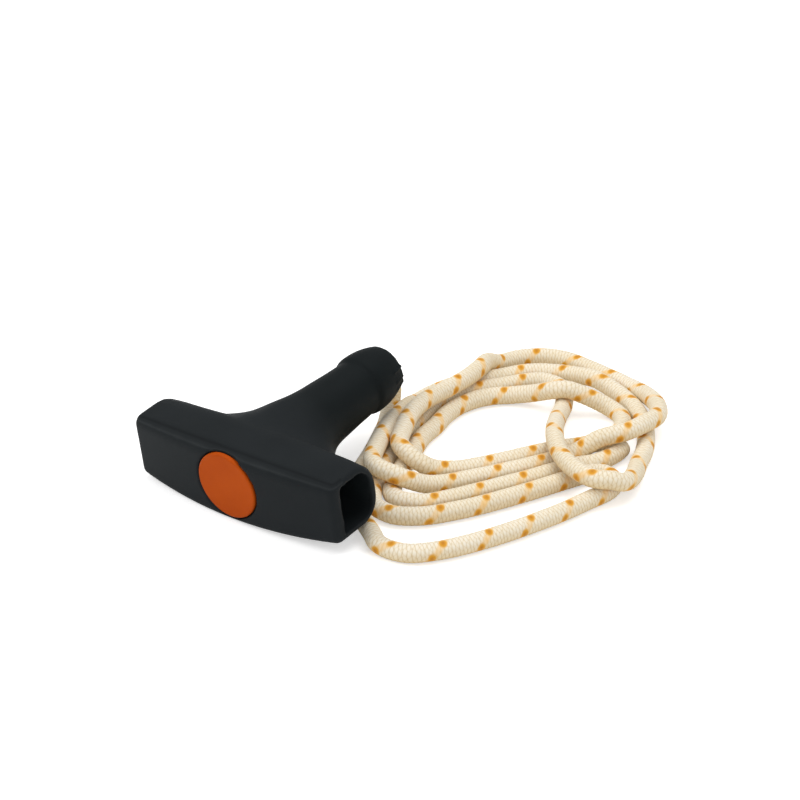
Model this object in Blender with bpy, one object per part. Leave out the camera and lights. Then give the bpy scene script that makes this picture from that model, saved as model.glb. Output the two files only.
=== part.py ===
"""Recoil starter handle with its rope: a hollow bowed crossbar on a stem with a rope collar, lying on its rope."""

import math

import bmesh
import bpy
import numpy as np
from mathutils import Matrix, Vector

MM = 0.001

# Driving dimensions, in millimetres.
BAR_LENGTH = 60.0
BAR_HEIGHT_END = 15.5
BAR_HEIGHT_MIDDLE = 19.2
BAR_DEPTH = 14.7
FRONT_BOW = 2.7
FRONT_RADIUS_END = 2.2
FRONT_RADIUS_MIDDLE = 3.4
FRONT_LOW_RADIUS = 1.6
REAR_RADIUS = 7.0
REAR_LOW_RADIUS = 5.6
END_ROUNDING = 1.4
WALL = 1.6
FRONT_WALL = 2.6
REAR_WALL = 2.1
INNER_FRONT_RADIUS = 0.8
INNER_REAR_RADIUS = 4.4
INNER_REAR_LOW_RADIUS = 3.0

STEM_RADIUS = 6.8
STEM_FLARE = 2.6
STEM_FLARE_POWER = 1.2
BLEND_RADIUS = 17.0
BLEND_FALL = 0.4
HANDLE_DEPTH = 54.5
COLLAR_LENGTH = 10.0
COLLAR_RADIUS = 7.55
COLLAR_END_RADIUS = 5.85
COLLAR_STEP = 1.3
COLLAR_EDGE = 0.5

ROPE_DIAMETER = 4.4
BORE_CLEARANCE = 0.35
MOUTH_DEPTH = 3.0
MOUTH_RADIUS = 4.5
KNOT_SEAT_RADIUS = 4.4
KNOT_SEAT_DEPTH = 1.2
KNOT_LENGTH = 7.4
KNOT_WIDTH = 9.4
KNOT_TAIL = 7.0

CAP_DIAMETER = 16.6
CAP_THICKNESS = 1.1
CAP_PROUD = 0.05
CAP_EDGE = 0.35
CAP_SPIGOT_DIAMETER = 12.0
CAP_SPIGOT_WALL = 1.1
CAP_SPIGOT_DEPTH = 4.2
FIT_GAP = 0.3

# How the handle lies: the stem rises towards the collar, which its own rope holds up,
# and one end of the bar is lifted a little by the strand that passes under it.
STEM_RISE_DEG = 7.42
BAR_ROLL_DEG = -1.9

# Rope route and hank, in millimetres.
# Counted from the middle of the bar: X along the bar, Y along the stem, Z above the surface.
# The lead runs from the collar down to the surface, back under the stem, behind the bar
# and round its right end to the hank.
ROPE_LEAD = [
    (-0.2, 53.7, 16.35),
    (-0.8, 55.8, 15.4),
    (-1.2, 57.4, 13.9),
    (-1.5, 58.7, 11.8),
    (-1.5, 59.1, 9.3),
    (-1.3, 58.7, 6.9),
    (-0.8, 57.4, 4.7),
    (0.1, 55.4, 3.1),
    (1.4, 52.9, 2.3),
    (3.4, 48.8, 2.2),
    (5.7, 44.0, 2.2),
    (7.9, 39.0, 2.2),
    (10.5, 32.6, 2.2),
    (13.8, 25.8, 2.2),
    (18.0, 20.2, 2.2),
    (22.8, 16.2, 2.2),
    (27.1, 13.6, 2.2),
    (31.1, 11.0, 2.2),
    (35.0, 8.4, 2.2),
    (39.0, 8.0, 2.2),
    (42.8, 9.2, 2.2),
    (46.1, 12.6, 2.2),
    (49.2, 17.5, 2.2),
    (52.0, 23.6, 2.2),
    (54.6, 30.6, 2.2),
    (56.9, 38.2, 2.2),
    (58.9, 46.0, 2.2),
    (60.3, 53.66, 2.2),
]
ROPE_SPACING = 2.3
ROPE_SIDES_SETTING = 3

HANK_HEIGHT = 9.3
HANK_TOP_ROUNDING = 1.8
HANK_OUTSIDE = [
    (27.0, 20.0), (33.2, 21.4), (38.4, 25.6), (42.4, 31.8), (46.2, 40.4), (50.4, 50.2), (54.4, 54.3), (60.4, 54.4),
    (65.2, 57.4), (66.4, 63.0), (65.2, 70.4), (61.6, 78.6), (57.6, 87.0), (52.4, 96.2), (44.6, 103.6), (35.0, 108.2),
    (24.0, 110.2), (13.6, 109.2), (6.4, 105.2), (2.8, 98.6), (1.2, 89.6), (-1.4, 80.6), (-1.6, 71.6), (0.6, 63.0),
    (4.4, 54.0), (8.2, 45.0), (11.9, 36.6), (15.3, 28.8), (19.8, 23.4),
]
HANK_HOLE = [
    (17.3, 47.4), (21.4, 43.4), (26.2, 44.6), (29.8, 49.0), (32.6, 56.4), (35.2, 63.6), (36.0, 68.6), (34.6, 73.4),
    (31.4, 79.2), (27.0, 83.4), (21.6, 82.6), (16.0, 79.2), (12.9, 74.2), (12.2, 66.6), (13.9, 57.0),
]
HANK_OUTLINE_STEPS = 4


def arc_points(centre, radius, start_deg, end_deg, count):
    """Points on an arc, both ends included."""
    points = []
    for i in range(count):
        a = math.radians(start_deg + (end_deg - start_deg) * i / (count - 1))
        points.append((centre[0] + radius * math.cos(a), centre[1] + radius * math.sin(a)))
    return points


def rounded_section(front, rear, half, radii, steps=6):
    """Outline of the bar across its length, as (y, z) points, from the low front corner round the rear."""
    low_front, low_rear, top_rear, top_front = radii
    outline = arc_points((front + low_front, -half + low_front), low_front, 180, 270, steps)
    outline += arc_points((rear - low_rear, -half + low_rear), low_rear, 270, 360, steps)
    outline += arc_points((rear - top_rear, half - top_rear), top_rear, 0, 90, steps)
    outline += arc_points((front + top_front, half - top_front), top_front, 90, 180, steps)
    return outline


def loft(name, rings):
    """Closed mesh through rings of equal point counts, with a cap on each end."""
    bm = bmesh.new()
    rows = [[bm.verts.new(Vector(point) * MM) for point in ring] for ring in rings]
    for lower, upper in zip(rows[:-1], rows[1:]):
        for i in range(len(lower)):
            j = (i + 1) % len(lower)
            bm.faces.new((lower[i], lower[j], upper[j], upper[i]))
    bm.faces.new(list(reversed(rows[0])))
    bm.faces.new(rows[-1])
    bmesh.ops.recalc_face_normals(bm, faces=bm.faces)
    mesh = bpy.data.meshes.new(name)
    bm.to_mesh(mesh)
    bm.free()
    return bpy.data.objects.new(name, mesh)


def turned(name, profile, segments=64):
    """Solid of revolution about the Y axis from (y, radius) points; ends with radius 0 are closed to a point."""
    bm = bmesh.new()
    rows = []
    for y, radius in profile:
        if radius < 1e-6:
            rows.append([bm.verts.new(Vector((0, y, 0)) * MM)])
            continue
        row = []
        for i in range(segments):
            a = 2 * math.pi * i / segments
            row.append(bm.verts.new(Vector((radius * math.cos(a), y, radius * math.sin(a))) * MM))
        rows.append(row)
    for lower, upper in zip(rows[:-1], rows[1:]):
        for i in range(segments):
            j = (i + 1) % segments
            if len(lower) == 1:
                bm.faces.new((lower[0], upper[j], upper[i]))
            elif len(upper) == 1:
                bm.faces.new((lower[i], lower[j], upper[0]))
            else:
                bm.faces.new((lower[i], lower[j], upper[j], upper[i]))
    if len(rows[0]) > 1:
        bm.faces.new(list(reversed(rows[0])))
    if len(rows[-1]) > 1:
        bm.faces.new(rows[-1])
    bmesh.ops.recalc_face_normals(bm, faces=bm.faces)
    mesh = bpy.data.meshes.new(name)
    bm.to_mesh(mesh)
    bm.free()
    return bpy.data.objects.new(name, mesh)


def add_boolean(obj, other, operation):
    modifier = obj.modifiers.new(operation.title() + "_" + other.name, "BOOLEAN")
    modifier.operation = operation
    modifier.solver = "EXACT"
    modifier.object = other


def material(name, colour, roughness, coat=0.0):
    mat = bpy.data.materials.new(name)
    mat.use_nodes = True
    shader = mat.node_tree.nodes["Principled BSDF"]
    shader.inputs["Base Color"].default_value = (*colour, 1)
    shader.inputs["Roughness"].default_value = roughness
    shader.inputs["Coat Weight"].default_value = coat
    mat.diffuse_color = (*colour, 1)
    return mat


def smooth_line(points, spacing):
    """Points at an even spacing along a smooth curve through the given ones."""
    pts = [2 * points[0] - points[1]] + list(points) + [2 * points[-1] - points[-2]]
    knots = [0.0]
    for a, b in zip(pts[:-1], pts[1:]):
        knots.append(knots[-1] + math.sqrt(np.linalg.norm(b - a)))
    fine = []
    for i in range(1, len(pts) - 2):
        p0, p1, p2, p3 = pts[i - 1 : i + 3]
        t0, t1, t2, t3 = knots[i - 1 : i + 3]
        for t in np.linspace(t1, t2, 16, endpoint=False):
            a1 = (t1 - t) / (t1 - t0) * p0 + (t - t0) / (t1 - t0) * p1
            a2 = (t2 - t) / (t2 - t1) * p1 + (t - t1) / (t2 - t1) * p2
            a3 = (t3 - t) / (t3 - t2) * p2 + (t - t2) / (t3 - t2) * p3
            b1 = (t2 - t) / (t2 - t0) * a1 + (t - t0) / (t2 - t0) * a2
            b2 = (t3 - t) / (t3 - t1) * a2 + (t - t1) / (t3 - t1) * a3
            fine.append((t2 - t) / (t2 - t1) * b1 + (t - t1) / (t2 - t1) * b2)
    fine.append(pts[-2])
    fine = np.array(fine)
    along = np.r_[0, np.cumsum(np.linalg.norm(np.diff(fine, axis=0), axis=1))]
    count = max(2, int(round(along[-1] / spacing)) + 1)
    wanted = np.linspace(0, along[-1], count)
    return np.column_stack([np.interp(wanted, along, fine[:, k]) for k in range(3)])


# Clear the scene.
for old in list(bpy.data.objects):
    bpy.data.objects.remove(old)

scene = bpy.context.scene
scene.unit_settings.system = "METRIC"
scene.unit_settings.scale_length = 1.0

parts = bpy.data.collections.new("recoil_starter_handle")
cutters = bpy.data.collections.new("cutters")
cutters.hide_render = True
scene.collection.children.link(parts)
scene.collection.children.link(cutters)


def as_cutter(obj):
    cutters.objects.link(obj)
    obj.hide_render = True
    obj.display_type = "WIRE"
    return obj


# Crossbar.
HALF_LENGTH = BAR_LENGTH / 2


def swell(x):
    """1 in the middle of the bar, 0 at its ends."""
    return 1 - min(1.0, abs(x) / HALF_LENGTH) ** 2


def bar_front(x):
    return -FRONT_BOW * swell(x)


def bar_half(x):
    return (BAR_HEIGHT_END + (BAR_HEIGHT_MIDDLE - BAR_HEIGHT_END) * swell(x)) / 2


def outer_ring(x, inset):
    top_front = FRONT_RADIUS_END + (FRONT_RADIUS_MIDDLE - FRONT_RADIUS_END) * swell(x)
    radii = [max(0.3, r - inset) for r in (FRONT_LOW_RADIUS, REAR_LOW_RADIUS, REAR_RADIUS, top_front)]
    outline = rounded_section(bar_front(x) + inset, BAR_DEPTH - inset, bar_half(x) - inset, radii)
    return [(x, y, z) for y, z in outline]


stations = [
    (-HALF_LENGTH + END_ROUNDING * (1 - math.cos(math.radians(a))), END_ROUNDING * (1 - math.sin(math.radians(a))))
    for a in (0, 22.5, 45, 67.5, 90)
]
rings = [outer_ring(x, inset) for x, inset in stations]
inner_span = HALF_LENGTH - END_ROUNDING
for i in range(1, 24):
    rings.append(outer_ring(-inner_span + 2 * inner_span * i / 24, 0.0))
rings += [outer_ring(-x, inset) for x, inset in reversed(stations)]
bar = loft("grip_body", rings)
parts.objects.link(bar)

# Stem: oval where it grows out of the bar, round at the collar.
stem_start = BAR_DEPTH - 6.0
step_y = HANDLE_DEPTH - COLLAR_LENGTH
blend_end = BAR_DEPTH + BLEND_RADIUS


def stem_core(y):
    """Radius of the stem without the sideways blend: it thickens towards the bar."""
    t = max(0.0, min(1.0, (step_y - y) / (step_y - BAR_DEPTH)))
    return STEM_RADIUS + STEM_FLARE * t**STEM_FLARE_POWER


def stem_ring(y):
    core = stem_core(y)
    reach = max(0.0, blend_end - max(y, BAR_DEPTH - 0.5))
    side = BLEND_RADIUS - math.sqrt(max(0.0, BLEND_RADIUS**2 - min(reach, BLEND_RADIUS * 0.985) ** 2))
    half_width = core + side
    half_height = min(core + 0.12 * side, BAR_HEIGHT_MIDDLE / 2 - 0.5)
    fall = BLEND_FALL * side / BLEND_RADIUS
    ring = []
    for i in range(64):
        a = 2 * math.pi * i / 64
        height = half_height * math.sin(a) * (1 - fall * math.cos(a) ** 2)
        ring.append((half_width * math.cos(a), y, height))
    return ring


stem_rings = [stem_ring(stem_start), stem_ring(BAR_DEPTH - 1.5)]
for i in range(15):
    stem_rings.append(stem_ring(BAR_DEPTH - 0.3 + (blend_end - BAR_DEPTH + 0.3) * i / 14))
stem_rings.append(stem_ring((blend_end + step_y) / 2))
stem_rings.append(stem_ring(step_y + COLLAR_STEP))
stem = as_cutter(loft("stem", stem_rings))
add_boolean(bar, stem, "UNION")

# Rope collar: a stepped ring that tapers to the flat end.
fall = COLLAR_RADIUS - COLLAR_END_RADIUS - COLLAR_EDGE * 0.5
taper_start = step_y + COLLAR_STEP + 0.6
taper_run = HANDLE_DEPTH - COLLAR_EDGE - taper_start
taper_radius = (taper_run**2 + fall**2) / (2 * fall)
collar_profile = [(step_y - 0.2, 0.0), (step_y - 0.2, STEM_RADIUS - 1.0), (step_y, STEM_RADIUS + 0.05)]
for i in range(1, 6):
    a = math.radians(90 * i / 5)
    collar_profile.append(
        (
            step_y + COLLAR_STEP * (1 - math.cos(a)),
            STEM_RADIUS + 0.05 + (COLLAR_RADIUS - STEM_RADIUS - 0.05) * math.sin(a),
        )
    )
for i in range(11):
    y = taper_start + taper_run * i / 10
    drop = taper_radius - math.sqrt(taper_radius**2 - (y - taper_start) ** 2)
    collar_profile.append((y, COLLAR_RADIUS - drop))
edge_radius = collar_profile[-1][1]
for i in range(1, 4):
    a = math.radians(30 * i)
    collar_profile.append(
        (
            HANDLE_DEPTH - COLLAR_EDGE * (1 - math.sin(a)),
            COLLAR_END_RADIUS + (edge_radius - COLLAR_END_RADIUS) * math.cos(a),
        )
    )
collar_profile.append((HANDLE_DEPTH, 0.0))
collar = as_cutter(turned("collar", collar_profile))
add_boolean(bar, collar, "UNION")


# Tunnel through the bar.
def inner_ring(x):
    radii = (INNER_FRONT_RADIUS, INNER_REAR_LOW_RADIUS, INNER_REAR_RADIUS, INNER_FRONT_RADIUS)
    outline = rounded_section(bar_front(x) + FRONT_WALL, BAR_DEPTH - REAR_WALL, bar_half(x) - WALL, radii)
    return [(x, y, z) for y, z in outline]


tunnel_rings = [inner_ring(-HALF_LENGTH - 1.0)]
for i in range(17):
    tunnel_rings.append(inner_ring(-HALF_LENGTH + BAR_LENGTH * i / 16))
tunnel_rings.append(inner_ring(HALF_LENGTH + 1.0))
tunnel = as_cutter(loft("bar_tunnel", tunnel_rings))
add_boolean(bar, tunnel, "DIFFERENCE")

# Rope bore with its knot seat and flared mouth.
bore_radius = ROPE_DIAMETER / 2 + BORE_CLEARANCE
tunnel_rear = BAR_DEPTH - REAR_WALL
throat = HANDLE_DEPTH - MOUTH_DEPTH
bore_profile = [
    (tunnel_rear - 1.0, 0.0),
    (tunnel_rear - 1.0, KNOT_SEAT_RADIUS),
    (tunnel_rear, KNOT_SEAT_RADIUS),
    (tunnel_rear + KNOT_SEAT_DEPTH, bore_radius),
    (throat, bore_radius),
]
for i in range(1, 7):
    a = math.radians(75 * i / 6)
    bore_profile.append(
        (
            throat + MOUTH_DEPTH * math.sin(a) / math.sin(math.radians(75)),
            bore_radius + (MOUTH_RADIUS - bore_radius) * (1 - math.cos(a)) / (1 - math.cos(math.radians(75))),
        )
    )
bore_profile.append((HANDLE_DEPTH + 1.0, MOUTH_RADIUS + 0.9))
bore_profile.append((HANDLE_DEPTH + 1.0, 0.0))
bore = as_cutter(turned("rope_bore", bore_profile, 48))
add_boolean(bar, bore, "DIFFERENCE")

# Seat of the cap in the front wall.
face_y = bar_front(0)
seat_floor = face_y - CAP_PROUD + CAP_THICKNESS + FIT_GAP
seat_profile = [
    (face_y - 2.0, 0.0),
    (face_y - 2.0, CAP_DIAMETER / 2 + FIT_GAP),
    (seat_floor, CAP_DIAMETER / 2 + FIT_GAP),
    (seat_floor, CAP_SPIGOT_DIAMETER / 2 + FIT_GAP),
    (face_y + FRONT_WALL + 1.5, CAP_SPIGOT_DIAMETER / 2 + FIT_GAP),
    (face_y + FRONT_WALL + 1.5, 0.0),
]
cap_seat = as_cutter(turned("cap_seat", seat_profile))
add_boolean(bar, cap_seat, "DIFFERENCE")

# Cap: flat disc on a short open spigot.
cap_front = face_y - CAP_PROUD
cap_back = cap_front + CAP_THICKNESS
cap_profile = [(cap_front, 0.0), (cap_front, CAP_DIAMETER / 2 - CAP_EDGE)]
for i in range(1, 4):
    a = math.radians(30 * i)
    cap_profile.append(
        (
            cap_front + CAP_EDGE * (1 - math.cos(a)),
            CAP_DIAMETER / 2 - CAP_EDGE * (1 - math.sin(a)),
        )
    )
cap_profile += [
    (cap_back, CAP_DIAMETER / 2),
    (cap_back, CAP_SPIGOT_DIAMETER / 2),
    (cap_front + CAP_SPIGOT_DEPTH, CAP_SPIGOT_DIAMETER / 2),
    (cap_front + CAP_SPIGOT_DEPTH, CAP_SPIGOT_DIAMETER / 2 - CAP_SPIGOT_WALL),
    (cap_back, CAP_SPIGOT_DIAMETER / 2 - CAP_SPIGOT_WALL),
    (cap_back, 0.0),
]
cap = turned("cap", cap_profile)
parts.objects.link(cap)

# Knot inside the bar and the stretch of rope held in the bore.
rope_radius = ROPE_DIAMETER / 2
knot_front = tunnel_rear - KNOT_LENGTH - 0.1
knot_profile = [(knot_front, 0.0)]
for i in range(1, 10):
    a = math.radians(180 * i / 10)
    radius = KNOT_WIDTH / 2 * math.sin(a) ** 0.75
    if i > 5 and radius < rope_radius:
        break
    knot_profile.append((knot_front + KNOT_LENGTH * (1 - math.cos(a)) / 2, radius))
knot_profile.append((tunnel_rear + 0.6, rope_radius))
knot_profile.append((throat - FIT_GAP, rope_radius))
knot_profile.append((throat - FIT_GAP, 0.0))
knot = turned("rope_knot", knot_profile, 24)
parts.objects.link(knot)
tail_y = knot_front + KNOT_LENGTH * 0.45
tail_rings = []
for k, (x, z, scale) in enumerate(((1.5, 0.0, 1.0), (4.0, 0.2, 1.0), (KNOT_WIDTH / 2 + KNOT_TAIL, 1.0, 0.95))):
    ring = []
    for i in range(12):
        a = 2 * math.pi * i / 12
        ring.append((x, tail_y + rope_radius * scale * math.cos(a), z + rope_radius * scale * math.sin(a)))
    tail_rings.append(ring)
tail = as_cutter(loft("knot_tail", tail_rings))
add_boolean(knot, tail, "UNION")

# Lay the handle down and set the origin under its middle.
lay = Matrix.Rotation(math.radians(STEM_RISE_DEG), 4, "X") @ Matrix.Rotation(math.radians(BAR_ROLL_DEG), 4, "Y")
handle = [bar, cap, knot, stem, collar, tunnel, bore, cap_seat, tail]
for obj in handle:
    obj.matrix_world = lay
bpy.context.view_layer.update()
graph = bpy.context.evaluated_depsgraph_get()
corners = []
for obj in (bar, cap):
    done = obj.evaluated_get(graph)
    corners += [done.matrix_world @ v.co for v in done.data.vertices]
low = Vector([min(c[k] for c in corners) for k in range(3)])
high = Vector([max(c[k] for c in corners) for k in range(3)])
shift = Vector((-(low.x + high.x) / 2, -(low.y + high.y) / 2, -low.z))
for obj in handle:
    obj.matrix_world = Matrix.Translation(shift) @ lay
axis = lay.to_3x3() @ Vector((0, 1, 0))
middle = shift

# Rope: a tube along the lead, from inside the collar mouth to the hank.
route = []
for along in (0.45, 1.75):
    point = middle + axis * (throat + along) * MM
    route.append(np.array(point) / MM)
for x, y, z in ROPE_LEAD:
    route.append(np.array((x + shift.x / MM, y + shift.y / MM, z)))
line = smooth_line(route, ROPE_SPACING)
curve = bpy.data.curves.new("rope", "CURVE")
curve.dimensions = "3D"
curve.bevel_depth = ROPE_DIAMETER / 2 * MM
curve.bevel_resolution = ROPE_SIDES_SETTING
curve.use_fill_caps = True
spline = curve.splines.new("POLY")
spline.points.add(len(line) - 1)
for point, (x, y, z) in zip(spline.points, line):
    point.co = (x * MM, y * MM, z * MM, 1)
rope = bpy.data.objects.new("rope", curve)
parts.objects.link(rope)


# Hank: the outer shape of the loops that lie beside and on each other.
def closed_line(corners, steps):
    """Smooth closed outline through the given plan points."""
    count = len(corners)
    ring = [np.array(c) for c in corners]
    out = []
    for i in range(count):
        p0, p1, p2, p3 = ring[i - 1], ring[i], ring[(i + 1) % count], ring[(i + 2) % count]
        for k in range(steps):
            t = k / steps
            out.append(
                0.5
                * (
                    2 * p1
                    + (p2 - p0) * t
                    + (2 * p0 - 5 * p1 + 4 * p2 - p3) * t**2
                    + (3 * p1 - p0 - 3 * p2 + p3) * t**3
                )
            )
    return out


def inset_line(outline, inset):
    """The closed outline moved inwards by this much."""
    count = len(outline)
    out = []
    for i in range(count):
        tangent = outline[(i + 1) % count] - outline[i - 1]
        tangent = tangent / np.linalg.norm(tangent)
        out.append(outline[i] + inset * np.array((-tangent[1], tangent[0])))
    return out


def hank_prism(name, corners, levels):
    """Prism on a plan outline; levels are (height, inset) pairs from the bottom up."""
    outline = closed_line(corners, HANK_OUTLINE_STEPS)
    rings = []
    for height, inset in levels:
        rings.append([(x + shift.x / MM, y + shift.y / MM, height) for x, y in inset_line(outline, inset)])
    return loft(name, rings)


hank_levels = [(0.0, 0.0)]
for i in range(5):
    a = math.radians(90 * i / 4)
    hank_levels.append(
        (
            HANK_HEIGHT - HANK_TOP_ROUNDING * (1 - math.sin(a)),
            HANK_TOP_ROUNDING * (1 - math.cos(a)),
        )
    )
hank = hank_prism("rope_hank", HANK_OUTSIDE, hank_levels)
parts.objects.link(hank)
hank_hole = as_cutter(hank_prism("hank_hole", HANK_HOLE, [(-2.0, 0.0), (HANK_HEIGHT + 2.0, 0.0)]))
add_boolean(hank, hank_hole, "DIFFERENCE")

# Materials.
black = material("black_plastic", (0.014, 0.018, 0.020), 0.55)
orange = material("orange_plastic", (0.48, 0.08, 0.004), 0.45)
cream = material("cream_rope", (0.78, 0.72, 0.58), 0.85)
bar.data.materials.append(black)
cap.data.materials.append(orange)
knot.data.materials.append(cream)
hank.data.materials.append(cream)
curve.materials.append(cream)
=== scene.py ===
"""Looks for the recoil starter handle: black grip, orange disc, cream rope with an orange tracer, studio."""

import math

import bmesh
import bpy
import numpy as np
from mathutils import Matrix, Vector


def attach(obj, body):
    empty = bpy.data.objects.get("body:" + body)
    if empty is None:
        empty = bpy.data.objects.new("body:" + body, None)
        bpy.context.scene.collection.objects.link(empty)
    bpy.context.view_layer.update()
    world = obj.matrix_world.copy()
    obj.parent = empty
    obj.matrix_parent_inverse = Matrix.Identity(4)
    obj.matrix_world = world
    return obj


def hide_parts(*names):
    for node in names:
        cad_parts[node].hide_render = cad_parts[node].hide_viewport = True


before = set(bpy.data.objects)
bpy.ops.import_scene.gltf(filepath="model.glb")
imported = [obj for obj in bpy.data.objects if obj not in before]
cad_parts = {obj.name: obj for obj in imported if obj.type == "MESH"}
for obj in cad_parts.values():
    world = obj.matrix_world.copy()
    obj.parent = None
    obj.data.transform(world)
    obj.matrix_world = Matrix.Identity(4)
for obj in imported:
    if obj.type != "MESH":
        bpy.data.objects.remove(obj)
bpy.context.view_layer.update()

MM = 0.001
# Where the CAD lays the handle: the middle of its bar in millimetres, and its tilts in degrees.
SHIFT_Y = -25.5228
SHIFT_Z = 9.7676
STEM_RISE_DEG = 7.42
BAR_ROLL_DEG = -1.9
# Along the stem, from the middle of the bar to the throat of the collar's flared mouth.
THROAT = 51.5
ROPE_DIAMETER = 4.4

# The camera's places are in millimetres too.
CAMERA_AT = Vector((368.969, -429.073, 312.737))
CAMERA_AIM = Vector((-6.978, 43.405, 0.0))
LENS = 124.49
SENSOR_WIDTH = 36.0

scene = bpy.context.scene
scene.view_settings.view_transform = "Standard"


def add_object(name, data):
    """New object in the scene."""
    obj = bpy.data.objects.new(name, data)
    scene.collection.objects.link(obj)
    return obj


def turn_to(obj, target):
    """Turn a camera or a lamp towards a place."""
    obj.rotation_euler = (Vector(target) - obj.location).to_track_quat("-Z", "Y").to_euler()


camera_data = bpy.data.cameras.new("camera")
camera_data.lens = LENS
camera_data.sensor_width = SENSOR_WIDTH
camera = add_object("camera", camera_data)
camera.location = CAMERA_AT * MM
turn_to(camera, CAMERA_AIM * MM)
scene.camera = camera

bar_middle = Vector((0, SHIFT_Y, SHIFT_Z))
rise = Matrix.Rotation(math.radians(STEM_RISE_DEG), 4, "X")
roll = Matrix.Rotation(math.radians(BAR_ROLL_DEG), 4, "Y")
lay = rise @ roll
place = Matrix.Translation(bar_middle * MM) @ lay
stem_axis = lay.to_3x3() @ Vector((0, 1, 0))

# Rope route.
# Counted from the middle of the bar: X along the bar, Y along the stem, Z above the surface, in millimetres.
ROPE_LEAD = [
    (-0.2, 53.7, 16.35), (-0.8, 55.8, 15.4), (-1.2, 57.4, 13.9), (-1.5, 58.7, 11.8), (-1.5, 59.1, 9.3),
    (-1.3, 58.7, 6.9), (-0.8, 57.4, 4.7), (0.1, 55.4, 3.1), (1.4, 52.9, 2.3), (3.4, 48.8, 2.2),
    (5.7, 44.0, 2.2), (7.9, 39.0, 2.2), (10.5, 32.6, 2.2), (13.8, 25.8, 2.2), (18.0, 20.2, 2.2),
    (22.8, 16.2, 2.2), (27.1, 13.6, 2.2), (31.1, 11.0, 2.2), (35.0, 8.4, 2.2), (39.0, 8.0, 2.2),
    (42.8, 9.2, 2.2), (46.1, 12.6, 2.2), (49.2, 17.5, 2.2), (52.0, 23.6, 2.2), (54.6, 30.6, 2.2),
    (56.9, 38.2, 2.2), (58.9, 46.0, 2.2), (60.3, 53.66, 2.2),
]
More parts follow.
